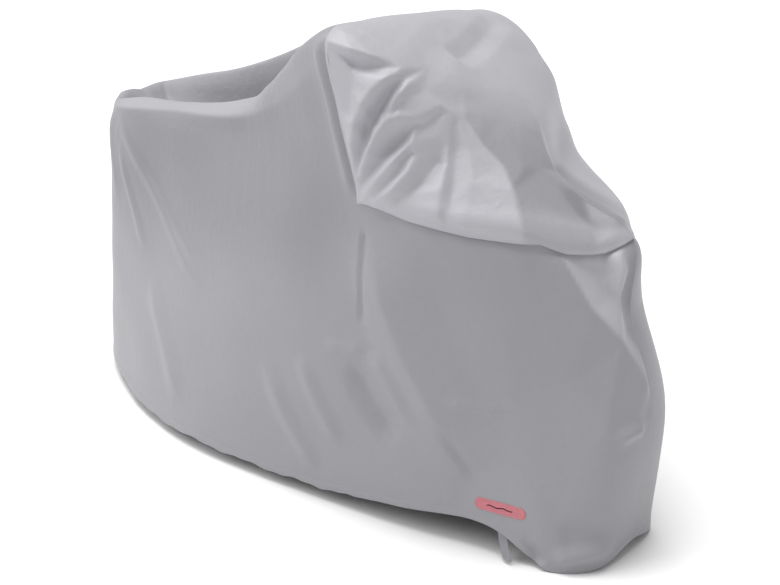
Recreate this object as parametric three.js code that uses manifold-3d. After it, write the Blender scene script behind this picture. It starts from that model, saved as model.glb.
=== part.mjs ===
// Motorcycle cover: two side panels and a hood of thin cloth, a lock eyelet and a hanging strap.
// Millimetres, +Z up, front wheel towards +X, the eyelet's side towards -Y.
// The origin is under the hood's top, where the handlebar carries the cover.
import * as THREE from "three";
import { mergeVertices } from "three/addons/utils/BufferGeometryUtils.js";
import Module from "manifold-3d";

// Cloth and seams
const CLOTH = 2; // thickness of every panel
const SEAM_INSET = 0.28; // each panel stops this far short of its seam line
const BAR_X = 190; // handlebar, ahead of the middle of the cover
const BAR_Z = 1246; // handlebar under the cloth, above the floor

// Lock eyelet
const EYELET_LENGTH = 136;
const EYELET_HEIGHT = 32;
const SLIT_LENGTH = 68;
const SLIT_HEIGHT = 13;
const EYELET_THICKNESS = 4;
const EYELET_GAP = 0.3; // between the eyelet and the edge of its hole
const EYELET_PLACE = { station: 8.17, rail: 0.195 };
const EYELET_TILT = 18; // degrees, front end up from the line of the hem
const EYELET_FLAT = 76; // the stiff eyelet keeps the cloth flat out to here
const EYELET_EASE = 140; // and the cloth is back on its own curve here
const HOLE_DEPTH = 60; // depth of the cut that clears the eyelet's place
const CURVE_STEPS = 10; // steps of each round end

// Strap of webbing
const STRAP_WIDTH = 25;
const STRAP_THICKNESS = 2.4;
const STRAP_STATION = 8.22;
const STRAP_SEWN = 42; // length that lies inside the hem
const STRAP_GAP = 0.7; // between the strap and the inside of the hem
const STRAP_CLEAR = 14; // straight length below the hem's edge
const STRAP_FALL = 60; // length of the loose end
const STRAP_SWING = 20; // outward swing of the loose end
const STRAP_LEAN = 35; // degrees, loose end towards the front from square to the hem

// Sections from the rear centre line to the front centre line.
// Each rail column holds x, half width and height above the floor.
// cells is the number of steps to the next section, lift raises the far rim,
// sway moves the section sideways.
const SECTIONS = [
  {
    name: "rear", cells: 2, lift: 0, sway: 0,
    hem: [-1070, 0, 40], skirt: [-1066, 0, 340], hip: [-1064, 0, 520], belt: [-1062, 0, 680],
    flank: [-1060, 0, 840], rim: [-1040, 0, 912], inner: [-985, 0, 905], spine: [-920, 0, 872],
  },
  {
    name: "rear_round", cells: 2, lift: 18, sway: 0,
    hem: [-1066, 105, 40], skirt: [-1060, 100, 340], hip: [-1058, 94, 520], belt: [-1056, 85, 680],
    flank: [-1055, 80, 840], rim: [-1036, 70, 910], inner: [-980, 40, 900], spine: [-915, 0, 872],
  },
  {
    name: "rear_corner", cells: 8, lift: 36, sway: 0,
    hem: [-1045, 188, 40], skirt: [-1036, 170, 340], hip: [-1034, 155, 520], belt: [-1034, 140, 680],
    flank: [-1034, 124, 840], rim: [-1015, 108, 906], inner: [-955, 55, 895], spine: [-880, 0, 872],
  },
  {
    name: "tail", cells: 7, lift: 86, sway: 0,
    hem: [-660, 380, 35], skirt: [-640, 305, 350], hip: [-630, 262, 530], belt: [-620, 220, 700],
    flank: [-600, 172, 880], rim: [-590, 142, 947], inner: [-580, 85, 912], spine: [-580, 0, 895],
  },
  {
    name: "tail_front", cells: 6, lift: 174, sway: 0,
    hem: [-270, 448, 45], skirt: [-250, 385, 360], hip: [-240, 342, 550], belt: [-235, 294, 720],
    flank: [-225, 212, 910], rim: [-235, 184, 993], inner: [-230, 115, 975], spine: [-240, 0, 1000],
  },
  {
    name: "waist", cells: 6, lift: 135, sway: 0,
    hem: [30, 425, 45], skirt: [50, 400, 380], hip: [65, 382, 590], belt: [80, 358, 770],
    flank: [60, 300, 985], rim: [-10, 262, 1100], inner: [-20, 150, 1090], spine: [-30, 0, 1115],
  },
  {
    name: "bar", cells: 5, lift: 0, sway: 0,
    hem: [270, 392, 50], skirt: [290, 385, 400], hip: [305, 374, 630], belt: [321, 360, 842],
    flank: [262, 362, 1050], rim: [205, 340, 1230], inner: [190, 190, 1250], spine: [185, 0, 1250],
  },
  {
    name: "cowl_back", cells: 5, lift: 0, sway: 0,
    hem: [450, 365, 60], skirt: [475, 355, 400], hip: [480, 351, 620], belt: [482, 345, 828],
    flank: [400, 335, 1000], rim: [358, 304, 1160], inner: [310, 165, 1220], spine: [250, 0, 1246],
  },
  {
    name: "cowl", cells: 5, lift: 0, sway: 0,
    hem: [700, 303, 78], skirt: [690, 293, 400], hip: [665, 288, 610], belt: [634, 275, 805],
    flank: [500, 252, 950], rim: [455, 215, 1097], inner: [375, 115, 1180], spine: [285, 0, 1231],
  },
  {
    name: "cowl_front", cells: 4, lift: 0, sway: -12,
    hem: [855, 240, 6], skirt: [850, 205, 380], hip: [797, 192, 600], belt: [752, 195, 785],
    flank: [558, 163, 909], rim: [515, 130, 1057], inner: [415, 68, 1155], spine: [303, 0, 1220],
  },
  {
    name: "nose_side", cells: 4, lift: 0, sway: -35,
    hem: [955, 140, 0], skirt: [948, 105, 390], hip: [868, 100, 600], belt: [828, 95, 772],
    flank: [602, 79, 892], rim: [550, 55, 1037], inner: [435, 30, 1140], spine: [310, 0, 1215],
  },
  {
    name: "nose", cells: 0, lift: 0, sway: -50,
    hem: [985, 0, 5], skirt: [980, 0, 400], hip: [895, 0, 600], belt: [860, 0, 782],
    flank: [622, 0, 887], rim: [562, 0, 1030], inner: [443, 0, 1135], spine: [312, 0, 1214],
  },
];

// Rails from the hem up to the spine.
// cells is the number of steps to the next rail, lift and sway are the shares that it takes of each.
const RAILS = [
  { name: "hem", cells: 6, lift: 0, sway: 1 },
  { name: "skirt", cells: 3, lift: 0, sway: 0.7 },
  { name: "hip", cells: 3, lift: 0, sway: 0.3 },
  { name: "belt", cells: 4, lift: 0.15, sway: 0 },
  { name: "flank", cells: 4, lift: 0.75, sway: 0 },
  { name: "rim", cells: 2, lift: 1, sway: 0 },
  { name: "inner", cells: 2, lift: 0.7, sway: 0 },
  { name: "spine", cells: 0, lift: 0, sway: 0 },
];
const BAR_STATION = 6; // the hood starts at the bar section
const BELT_RAIL = 3; // and ends at the belt
const SPINE_RAIL = RAILS.length - 1;
const LAST_RAIL = 2 * SPINE_RAIL; // the far hem
const LAST_STATION = SECTIONS.length - 1;

// Folds: each row runs from a place over a middle place to an end, as station and rail numbers.
// Rail numbers above the spine's lie on the far side.
// height is the ridge's height, negative for a trough, and width is its reach to either side.
const FOLDS = [
  { name: "bar_trough", from: [6.15, 4.86], via: [6.5, 4.83], to: [7.2, 5.16], width: 30, height: -20 },
  { name: "long_curve_trough", from: [7.4, 5.2], via: [6.8, 4.38], to: [6.15, 3.4], width: 32, height: -22 },
  { name: "dark_facet", from: [7.6, 4.5], via: [6.95, 4.12], to: [6.15, 3.25], width: 34, height: -22 },
  { name: "middle_ridge", from: [8.0, 5.0], via: [7.5, 4.33], to: [6.3, 3.3], width: 36, height: 26 },
  { name: "low_trough", from: [7.9, 4.0], via: [7.3, 3.72], to: [6.4, 3.1], width: 30, height: -14 },
  { name: "cowl_ridge", from: [8.35, 5.2], via: [8.5, 4.3], to: [7.85, 3.0], width: 60, height: 36 },
  { name: "cowl_hollow", from: [9.2, 4.9], via: [9.7, 4.1], to: [9.5, 3.3], width: 60, height: -16 },
  { name: "tail_pull", from: [2.3, 4.3], via: [2.8, 2.8], to: [3.9, 1.4], width: 45, height: 12 },
  { name: "rim_to_bar", from: [4.1, 5.0], via: [5.0, 5.0], to: [5.85, 4.95], width: 40, height: 12 },
  { name: "long_pull", from: [6.05, 2.95], via: [6.85, 1.7], to: [7.8, 0.42], width: 50, height: 16 },
  { name: "low_ridge", from: [5.1, 1.0], via: [5.5, 0.5], to: [5.9, 0.1], width: 45, height: 12 },
  { name: "low_valley", from: [5.95, 1.1], via: [6.4, 0.72], to: [6.85, 0.4], width: 45, height: -12 },
  { name: "front_edge", from: [9.35, 2.85], via: [10.0, 2.0], to: [10.6, 1.1], width: 45, height: 14 },
  { name: "front_low", from: [9.1, 0.15], via: [9.6, 0.25], to: [10.4, 0.2], width: 40, height: -10 },
  { name: "far_bar_pull", from: [6.1, 10.9], via: [6.6, 12.2], to: [7.2, 13.2], width: 55, height: 15 },
  { name: "far_hood_trough", from: [7.3, 8.9], via: [6.9, 9.8], to: [6.3, 10.7], width: 36, height: -20 },
  { name: "far_hood_ridge", from: [8.0, 9.1], via: [7.6, 9.9], to: [6.8, 10.8], width: 40, height: 18 },
  { name: "far_cheek", from: [7.2, 10.1], via: [8.8, 10.9], to: [10.6, 11.3], width: 70, height: -20 },
  { name: "far_rim_dip", from: [4.2, 8.95], via: [5.2, 8.85], to: [6.3, 8.75], width: 80, height: -24 },
  { name: "far_tail_pull", from: [2.4, 9.8], via: [2.9, 11.3], to: [3.8, 12.7], width: 50, height: 13 },
  { name: "far_low_ridge", from: [4.6, 12.6], via: [4.8, 13.2], to: [5.0, 13.8], width: 50, height: 12 },
];
const FOLD_CREST = 14; // radius that rounds each fold's crest
const FOLD_FADE = 0.3; // share of a fold's length over which each end fades out
const FOLD_STEPS = 12;
const FOLD_REACH = 6; // a fold ends at this many widths
const SEAT_STEP = 0.05; // step of station or rail that gives the cloth's directions
const WELD = 0.001; // corners closer than this are one corner

const wasm = await Module();
wasm.setup();

// Point of one rail at one section; side is -1 for the near half and 1 for the far half.
function railPoint(section, rail, side) {
  const [x, half, z] = section[rail.name];
  const lift = side > 0 ? section.lift * rail.lift : 0;
  return new THREE.Vector3(x, side * half + section.sway * rail.sway, z + lift);
}

// Each rail is a closed loop: along the near side to the front, and back along the far side.
const loops = RAILS.map((rail) => {
  const near = SECTIONS.map((section) => railPoint(section, rail, -1));
  const far = SECTIONS.map((section) => railPoint(section, rail, 1));
  const back = far.slice(1, -1).reverse();
  return new THREE.CatmullRomCurve3([...near, ...back], true, "centripetal");
});

// Rib at one station: from the near hem over the spine to the far hem.
const ribs = new Map();
function ribAt(station) {
  if (!ribs.has(station)) {
    const share = station / (2 * LAST_STATION);
    const near = loops.map((loop) => loop.getPoint(share));
    const far = loops.map((loop) => loop.getPoint((1 - share) % 1));
    const over = far.slice(0, -1).reverse();
    ribs.set(station, new THREE.CatmullRomCurve3([...near, ...over], false, "centripetal"));
  }
  return ribs.get(station);
}

function basePoint(station, rail) {
  return ribAt(station).getPoint(rail / LAST_RAIL);
}

// A fold's line on the cloth, as points along a bend through its middle place.
function foldLine(row) {
  const points = [];
  for (let step = 0; step <= FOLD_STEPS; step += 1) {
    const share = step / FOLD_STEPS;
    const place = [0, 1].map((k) => {
      const pull = 2 * row.via[k] - (row.from[k] + row.to[k]) / 2;
      const before = THREE.MathUtils.lerp(row.from[k], pull, share);
      const after = THREE.MathUtils.lerp(pull, row.to[k], share);
      return THREE.MathUtils.lerp(before, after, share);
    });
    points.push(basePoint(place[0], place[1]));
  }
  return { ...row, points };
}
const foldLines = FOLDS.map(foldLine);

// Height that all folds together add at a point of the cloth.
function foldHeight(point) {
  const nearest = new THREE.Vector3();
  const piece = new THREE.Line3();
  let height = 0;
  for (const fold of foldLines) {
    let distance = Infinity;
    let share = 0;
    for (let step = 0; step < FOLD_STEPS; step += 1) {
      piece.set(fold.points[step], fold.points[step + 1]);
      const along = piece.closestPointToPointParameter(point, true);
      piece.at(along, nearest);
      const gap = nearest.distanceTo(point);
      if (gap < distance) {
        distance = gap;
        share = (step + along) / FOLD_STEPS;
      }
    }
    if (distance < FOLD_REACH * fold.width) {
      const rounded = Math.hypot(distance, FOLD_CREST) - FOLD_CREST;
      const ends = Math.min(share, 1 - share);
      const fade = THREE.MathUtils.smoothstep(ends, 0, FOLD_FADE);
      height += fold.height * fade * Math.exp(-rounded / fold.width);
    }
  }
  return height;
}

// Numbers along a row of steps, such as station numbers with several cells to each section.
function spread(rows) {
  const numbers = [];
  rows.forEach((row, index) => {
    for (let cell = 0; cell < row.cells; cell += 1) {
      numbers.push(index + cell / row.cells);
    }
  });
  numbers.push(rows.length - 1);
  return numbers;
}
const stations = spread(SECTIONS);
const nearRails = spread(RAILS);
const farRails = nearRails.slice(0, -1).reverse();
const rails = [...nearRails, ...farRails.map((rail) => LAST_RAIL - rail)];
const ROWS = stations.length - 1;
const COLUMNS = rails.length - 1;
const SPINE_COLUMN = nearRails.length - 1;

// Normal of a grid at each point, the two halves of a centre line sharing one.
function gridNormals(grid) {
  const normals = grid.map((row) => row.map(() => new THREE.Vector3()));
  const first = new THREE.Vector3();
  const second = new THREE.Vector3();
  for (let i = 0; i < ROWS; i += 1) {
    for (let j = 0; j < COLUMNS; j += 1) {
      first.subVectors(grid[i + 1][j + 1], grid[i][j]);
      second.subVectors(grid[i][j + 1], grid[i + 1][j]);
      const turn = first.clone().cross(second);
      normals[i][j].add(turn);
      normals[i + 1][j].add(turn);
      normals[i][j + 1].add(turn);
      normals[i + 1][j + 1].add(turn);
    }
  }
  for (const i of [0, ROWS]) {
    for (let j = 0; j <= SPINE_COLUMN; j += 1) {
      const both = normals[i][j].clone().add(normals[i][COLUMNS - j]);
      normals[i][j].copy(both);
      normals[i][COLUMNS - j].copy(both);
    }
  }
  normals.forEach((row) => row.forEach((normal) => normal.normalize()));
  return normals;
}

// A seat on a surface: its centre, its long direction, its outward direction and the one across.
function seatOn(surface, place, tilt) {
  const centre = surface(place.station, place.rail);
  const ahead = surface(place.station + SEAT_STEP, place.rail).sub(centre);
  const up = surface(place.station, place.rail + SEAT_STEP).sub(centre);
  const out = ahead.clone().cross(up).normalize();
  const long = ahead.normalize().applyAxisAngle(out, THREE.MathUtils.degToRad(tilt));
  const across = out.clone().cross(long);
  return { centre, long, across, out };
}
const eyeletSeat = seatOn(basePoint, EYELET_PLACE, EYELET_TILT);

// Cloth near the eyelet is drawn onto the eyelet's plane.
function flattened(point) {
  const offset = point.clone().sub(eyeletSeat.centre);
  const hold = 1 - THREE.MathUtils.smoothstep(offset.length(), EYELET_FLAT, EYELET_EASE);
  return point.addScaledVector(eyeletSeat.out, -hold * offset.dot(eyeletSeat.out));
}

// Point of the folded cloth at any place.
function clothPoint(station, rail) {
  const seat = seatOn(basePoint, { station, rail }, 0);
  const folded = seat.centre.clone().addScaledVector(seat.out, foldHeight(seat.centre));
  return flattened(folded);
}

const baseGrid = stations.map((station) => rails.map((rail) => basePoint(station, rail)));
const baseNormals = gridNormals(baseGrid);
const outerGrid = baseGrid.map((row, i) =>
  row.map((point, j) => {
    const folded = point.clone().addScaledVector(baseNormals[i][j], foldHeight(point));
    return flattened(folded);
  }),
);
const outerNormals = gridNormals(outerGrid);

// Closed solid of the cells that belong to one panel.
// side is -1 or 1 for a side panel; the hood has side 0 and closes on itself at the nose.
function panelGeometry(belongs, side) {
  const welded = side === 0;
  const positions = [];
  const triangles = [];
  const known = new Map();
  const holds = (i, j) => i >= 0 && i < ROWS && j >= 0 && j < COLUMNS && belongs(i, j);

  function cellCentre(i, j) {
    const centre = outerGrid[i][j].clone().add(outerGrid[i + 1][j]);
    return centre.add(outerGrid[i][j + 1]).add(outerGrid[i + 1][j + 1]).divideScalar(4);
  }

  // Shift that keeps a panel's edge off its seam line.
  function inset(i, j) {
    const corners = [[i - 1, j - 1], [i - 1, j], [i, j - 1], [i, j]];
    const own = corners.filter(([a, b]) => holds(a, b));
    if (own.length === corners.length) return new THREE.Vector3();
    const inward = new THREE.Vector3();
    own.forEach(([a, b]) => inward.add(cellCentre(a, b)).sub(outerGrid[i][j]));
    if (welded && i === ROWS) inward.y = 0;
    inward.setLength(SEAM_INSET);
    if (!welded && (i === 0 || i === ROWS || j === SPINE_COLUMN)) inward.y = side * SEAM_INSET;
    return inward;
  }

  function vertex(i, j, layer) {
    const column = welded && i === ROWS ? Math.min(j, COLUMNS - j) : j;
    const key = `${i} ${column} ${layer}`;
    if (!known.has(key)) {
      const freeWeld = welded && i === ROWS && holds(i - 1, column - 1);
      const shift = freeWeld ? new THREE.Vector3() : inset(i, column);
      const point = outerGrid[i][column].clone().add(shift);
      point.addScaledVector(outerNormals[i][column], -layer * CLOTH);
      known.set(key, positions.length / 3);
      positions.push(point.x, point.y, point.z);
    }
    return known.get(key);
  }

  function quad(a, b, c, d) {
    triangles.push(a, b, c, a, c, d);
  }

  function wall(i0, j0, i1, j1) {
    quad(vertex(i0, j0, 1), vertex(i1, j1, 1), vertex(i1, j1, 0), vertex(i0, j0, 0));
  }

  for (let i = 0; i < ROWS; i += 1) {
    for (let j = 0; j < COLUMNS; j += 1) {
      if (!belongs(i, j)) continue;
      quad(vertex(i, j, 0), vertex(i + 1, j, 0), vertex(i + 1, j + 1, 0), vertex(i, j + 1, 0));
      quad(vertex(i, j, 1), vertex(i, j + 1, 1), vertex(i + 1, j + 1, 1), vertex(i + 1, j, 1));
      if (!holds(i, j - 1)) wall(i, j, i + 1, j);
      if (!holds(i, j + 1)) wall(i + 1, j + 1, i, j + 1);
      if (!holds(i - 1, j)) wall(i, j + 1, i, j);
      if (!holds(i + 1, j) && !(welded && i + 1 === ROWS)) wall(i + 1, j, i + 1, j + 1);
    }
  }
  const geometry = new THREE.BufferGeometry();
  geometry.setAttribute("position", new THREE.Float32BufferAttribute(positions, 3));
  geometry.setIndex(triangles);
  return geometry;
}

// Flat oval with straight long sides, as a shape or as the path of a hole.
function oval(path, length, height) {
  const radius = height / 2;
  const reach = length / 2 - radius;
  path.absarc(reach, 0, radius, -Math.PI / 2, Math.PI / 2, false);
  path.absarc(-reach, 0, radius, Math.PI / 2, (3 * Math.PI) / 2, false);
  path.closePath();
  return path;
}

function seatMatrix(seat, lowered) {
  const matrix = new THREE.Matrix4().makeBasis(seat.long, seat.across, seat.out);
  return matrix.setPosition(seat.centre.clone().addScaledVector(seat.out, -lowered));
}

function solidOf(geometry) {
  const bare = geometry.index ? geometry.toNonIndexed() : geometry.clone();
  bare.deleteAttribute("normal");
  bare.deleteAttribute("uv");
  const merged = mergeVertices(bare, WELD);
  return new wasm.Manifold(
    new wasm.Mesh({
      numProp: 3,
      vertProperties: new Float32Array(merged.attributes.position.array),
      triVerts: new Uint32Array(merged.index.array),
    }),
  );
}

function geometryOf(solid) {
  const mesh = solid.getMesh();
  const geometry = new THREE.BufferGeometry();
  geometry.setAttribute("position", new THREE.BufferAttribute(mesh.vertProperties, 3));
  geometry.setIndex(new THREE.BufferAttribute(mesh.triVerts, 1));
  return geometry;
}

function eyeletHole() {
  const length = EYELET_LENGTH + 2 * EYELET_GAP;
  const height = EYELET_HEIGHT + 2 * EYELET_GAP;
  const shape = oval(new THREE.Shape(), length, height);
  const geometry = new THREE.ExtrudeGeometry(shape, {
    depth: HOLE_DEPTH, bevelEnabled: false, curveSegments: CURVE_STEPS,
  });
  return geometry.applyMatrix4(seatMatrix(eyeletSeat, HOLE_DEPTH / 2));
}

function eyeletGeometry() {
  const shape = oval(new THREE.Shape(), EYELET_LENGTH, EYELET_HEIGHT);
  shape.holes.push(oval(new THREE.Path(), SLIT_LENGTH, SLIT_HEIGHT));
  const geometry = new THREE.ExtrudeGeometry(shape, {
    depth: EYELET_THICKNESS, bevelEnabled: false, curveSegments: CURVE_STEPS,
  });
  return geometry.applyMatrix4(seatMatrix(eyeletSeat, (EYELET_THICKNESS + CLOTH) / 2));
}

// Side view of the strap: sewn length inside the hem, then the loose end that swings outward.
function strapGeometry() {
  const back = STRAP_THICKNESS;
  const shape = new THREE.Shape();
  shape.moveTo(0, STRAP_SEWN);
  shape.lineTo(0, -STRAP_CLEAR);
  shape.lineTo(STRAP_SWING, -STRAP_FALL);
  shape.lineTo(STRAP_SWING - back, -STRAP_FALL);
  shape.lineTo(-back, -STRAP_CLEAR - back / 2);
  shape.lineTo(-back, STRAP_SEWN);
  shape.closePath();
  const geometry = new THREE.ExtrudeGeometry(shape, { depth: STRAP_WIDTH, bevelEnabled: false });
  geometry.translate(-CLOTH - STRAP_GAP, 0, -STRAP_WIDTH / 2);
  const seat = seatOn(clothPoint, { station: STRAP_STATION, rail: 0 }, STRAP_LEAN);
  const matrix = new THREE.Matrix4().makeBasis(seat.out, seat.across, seat.long.clone().negate());
  return geometry.applyMatrix4(matrix.setPosition(seat.centre));
}

const barRow = stations.indexOf(BAR_STATION);
const beltColumn = rails.indexOf(BELT_RAIL);
const inHood = (i, j) => i >= barRow && j >= beltColumn && j < COLUMNS - beltColumn;
const inNear = (i, j) => j < SPINE_COLUMN && !inHood(i, j);
const inFar = (i, j) => j >= SPINE_COLUMN && !inHood(i, j);

const nearPanel = geometryOf(solidOf(panelGeometry(inNear, -1)).subtract(solidOf(eyeletHole())));

const clothLook = { color: 0x9c9ba2, roughness: 0.55, metalness: 0 };
const hoodLook = { color: 0xa9a8af, roughness: 0.5, metalness: 0 };
const eyeletLook = { color: 0xbf5a68, roughness: 0.6, metalness: 0 };
const strapLook = { color: 0x8f8e95, roughness: 0.8, metalness: 0 };

function piece(name, geometry, look) {
  const mesh = new THREE.Mesh(geometry, new THREE.MeshStandardMaterial(look));
  mesh.name = name;
  return mesh;
}

const cover = new THREE.Group();
cover.position.set(-BAR_X, 0, -BAR_Z);
cover.add(piece("side_panel_near", nearPanel, clothLook));
cover.add(piece("side_panel_far", panelGeometry(inFar, 1), clothLook));
cover.add(piece("hood_panel", panelGeometry(inHood, 0), hoodLook));
cover.add(piece("lock_eyelet", eyeletGeometry(), eyeletLook));
cover.add(piece("hem_strap", strapGeometry(), strapLook));

const motorcycleCover = new THREE.Group();
motorcycleCover.add(cover);

export default motorcycleCover;
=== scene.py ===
"""Looks of a cloth cover that hangs over a parked motorcycle.

One surface runs from the rear centre line to the front one (stations) and from the near hem over
the spine to the far hem (rails). A table of folds raises and sinks it, and each panel is a fine
grid cut from it. The tables hold millimetres above the floor; meshes are in metres, in the frame's
axes: +X towards the front wheel, -Y towards the eyelet's side, +Z up.
"""
import logging
import math
from dataclasses import dataclass
from enum import Enum

import bpy
import numpy as np
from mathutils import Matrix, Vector
from mathutils.geometry import delaunay_2d_cdt


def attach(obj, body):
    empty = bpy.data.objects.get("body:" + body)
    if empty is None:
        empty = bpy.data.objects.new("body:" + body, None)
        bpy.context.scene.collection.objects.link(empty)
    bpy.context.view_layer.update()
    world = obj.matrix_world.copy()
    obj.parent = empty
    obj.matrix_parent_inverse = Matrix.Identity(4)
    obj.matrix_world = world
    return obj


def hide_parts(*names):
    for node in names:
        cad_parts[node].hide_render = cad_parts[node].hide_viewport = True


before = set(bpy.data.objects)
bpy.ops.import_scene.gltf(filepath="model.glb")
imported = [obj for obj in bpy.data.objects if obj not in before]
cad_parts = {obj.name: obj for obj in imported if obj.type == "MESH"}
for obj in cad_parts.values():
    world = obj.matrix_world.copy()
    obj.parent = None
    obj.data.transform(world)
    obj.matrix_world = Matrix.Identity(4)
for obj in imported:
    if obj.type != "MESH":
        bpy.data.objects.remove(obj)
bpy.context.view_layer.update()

LOG = logging.getLogger("cover")

MM = 0.001
BODY = "root"

Array = np.ndarray
Piece = bpy.types.Object
Material = bpy.types.Material
Tree = bpy.types.NodeTree
Node = bpy.types.Node
Socket = bpy.types.NodeSocket
Place = tuple[float, float]
Span = tuple[float, float]
Triple = tuple[float, float, float]

# The handlebar under the hood is the frame's origin, this far forward and above the floor.
BAR_X = 190.0
BAR_Z = 1246.0
FLOOR_DROP = 1.5


class Side(Enum):
    """The two halves of the cover, with the sign of their y."""

    NEAR = -1
    FAR = 1


@dataclass(frozen=True)
class Section:
    """One upright section: each rail's x, half width and height above the floor.

    lift raises the far rim, and sway moves the whole section sideways.
    """

    name: str
    lift: float
    sway: float
    hem: Triple
    skirt: Triple
    hip: Triple
    belt: Triple
    flank: Triple
    rim: Triple
    inner: Triple
    spine: Triple


@dataclass(frozen=True)
class Rail:
    """One rail, with the shares that it takes of a section's lift and sway."""

    name: str
    lift: float
    sway: float


# Name, lift and sway, then the rails from hem to spine.
SECTIONS = (
    Section("rear", 0, 0, (-1070, 0, 40), (-1066, 0, 340), (-1064, 0, 520), (-1062, 0, 680),
            (-1060, 0, 840), (-1040, 0, 919), (-985, 0, 902), (-920, 0, 858)),
    Section("rear_round", 18, 0, (-1066, 105, 40), (-1060, 100, 340), (-1058, 94, 520), (-1056, 85, 680),
            (-1055, 80, 840), (-1036, 70, 915), (-980, 42, 890), (-915, 0, 856)),
    Section("rear_corner", 33, 0, (-1045, 188, 40), (-1036, 170, 340), (-1034, 155, 520), (-1034, 140, 680),
            (-1034, 124, 840), (-1015, 108, 906), (-955, 64, 872), (-880, 0, 852)),
    Section("tail", 122, 0, (-660, 380, 35), (-640, 305, 350), (-630, 262, 530), (-620, 220, 700),
            (-600, 172, 872), (-590, 142, 911), (-580, 105, 862), (-580, 0, 850)),
    Section("tail_front", 188, 0, (-270, 448, 45), (-250, 385, 360), (-240, 342, 550), (-235, 294, 720),
            (-225, 212, 905), (-235, 184, 980), (-230, 130, 945), (-240, 0, 965)),
    Section("waist", 112, 0, (30, 425, 45), (50, 400, 380), (65, 382, 590), (80, 358, 770),
            (60, 300, 985), (-10, 262, 1100), (-20, 150, 1090), (-30, 0, 1115)),
    Section("bar", -9, 0, (270, 392, 50), (290, 385, 400), (305, 374, 630), (321, 360, 842),
            (262, 362, 1050), (205, 340, 1230), (190, 190, 1250), (185, 0, 1250)),
    Section("cowl_back", 0, 0, (450, 365, 60), (475, 355, 400), (480, 351, 620), (482, 345, 828),
            (400, 335, 1000), (358, 304, 1160), (310, 165, 1220), (250, 0, 1246)),
    Section("cowl", 0, 0, (700, 303, 78), (690, 293, 400), (665, 288, 610), (634, 275, 805),
            (500, 252, 950), (455, 215, 1097), (375, 115, 1180), (285, 0, 1231)),
    Section("cowl_front", 0, -60, (866, 208, 2), (850, 180, 380), (797, 186, 600), (752, 195, 785),
            (558, 163, 909), (515, 130, 1057), (415, 68, 1155), (303, 0, 1220)),
    Section("nose_side", 0, -60, (950, 125, 5), (948, 120, 390), (868, 100, 600), (828, 95, 772),
            (602, 79, 892), (550, 55, 1037), (435, 30, 1140), (310, 0, 1215)),
    Section("nose", 0, -58, (968, 0, 34), (980, 0, 400), (895, 0, 600), (870, 0, 784),
            (622, 0, 887), (562, 0, 1030), (443, 0, 1135), (312, 0, 1214)),
)
# Name, and shares of lift and sway.
RAILS = (
    Rail("hem", 0, 1), Rail("skirt", 0, 0.7), Rail("hip", 0, 0.3), Rail("belt", 0.15, 0),
    Rail("flank", 0.75, 0), Rail("rim", 1, 0), Rail("inner", 0.25, 0), Rail("spine", 0, 0),
)
LAST_STATION = len(SECTIONS) - 1
SPINE_RAIL = len(RAILS) - 1
LAST_RAIL = 2 * SPINE_RAIL
BAR_STATION = 6
BELT_RAIL = 3


def smoothstep(value: Array, low: float, high: float) -> Array:
    """Ease from 0 at low to 1 at high: 3 q squared less 2 q cubed, q being the share of the way.

    Args:
        value: numbers to ease.
        low: where the ease starts.
        high: where it ends.

    Returns:
        The eased shares.
    """
    share = np.clip((value - low) / (high - low), 0.0, 1.0)
    return share * share * (3.0 - 2.0 * share)


def band(value: Array, rise: Span, fall: Span) -> Array:
    """Share that comes in over one span and goes out over another."""
    return smoothstep(value, *rise) * (1.0 - smoothstep(value, *fall))


def read_off(table: tuple[Place, ...], value: Array) -> Array:
    """Second numbers of a table at values of its first ones, straight between its rows."""
    return np.interp(value, *np.array(table).T)


def unit(vectors: Array) -> Array:
    """Vectors at length one."""
    return vectors / np.linalg.norm(vectors, axis=-1, keepdims=True)


def other_half(station: Array, rail: Array, chosen: Array) -> tuple[Array, Array]:
    """Places whose chosen ones are named from the other half: counted on past the nose, or back from there.

    Args:
        station: station numbers.
        rail: rail numbers, as many.
        chosen: which of them to name anew.

    Returns:
        The station numbers and the rail numbers.
    """
    return np.where(chosen, 2 * LAST_STATION - station, station), np.where(chosen, LAST_RAIL - rail, rail)


def catmull(before: Array, first: Array, second: Array, after: Array, share: Array) -> Array:
    """Centripetal Catmull-Rom curve between two points of a row of four.

    A cubic whose end slopes come from the neighbours, each step weighed by the square root of its
    length, so that uneven spacing makes no loops.

    Args:
        before: point ahead of the stretch.
        first: start of the stretch.
        second: end of the stretch.
        after: point beyond the stretch.
        share: share of the way from first to second.

    Returns:
        Points on the curve.
    """
    def step(a: Array, b: Array) -> Array:
        """Square root of the distance between two rows of points."""
        return np.sqrt(np.linalg.norm(a - b, axis=-1, keepdims=True))

    tiny = 1e-4
    middle = step(first, second)
    middle = np.where(middle < tiny, 1.0, middle)
    early = step(before, first)
    early = np.where(early < tiny, middle, early)
    late = step(second, after)
    late = np.where(late < tiny, middle, late)
    leave = (first - before) / early - (second - before) / (early + middle) + (second - first) / middle
    reach = (second - first) / middle - (after - first) / (middle + late) + (after - second) / late
    leave = leave * middle
    reach = reach * middle
    square = 3.0 * (second - first) - 2.0 * leave - reach
    cube = 2.0 * (first - second) + leave + reach
    return first + leave * share + square * share**2 + cube * share**3


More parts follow.
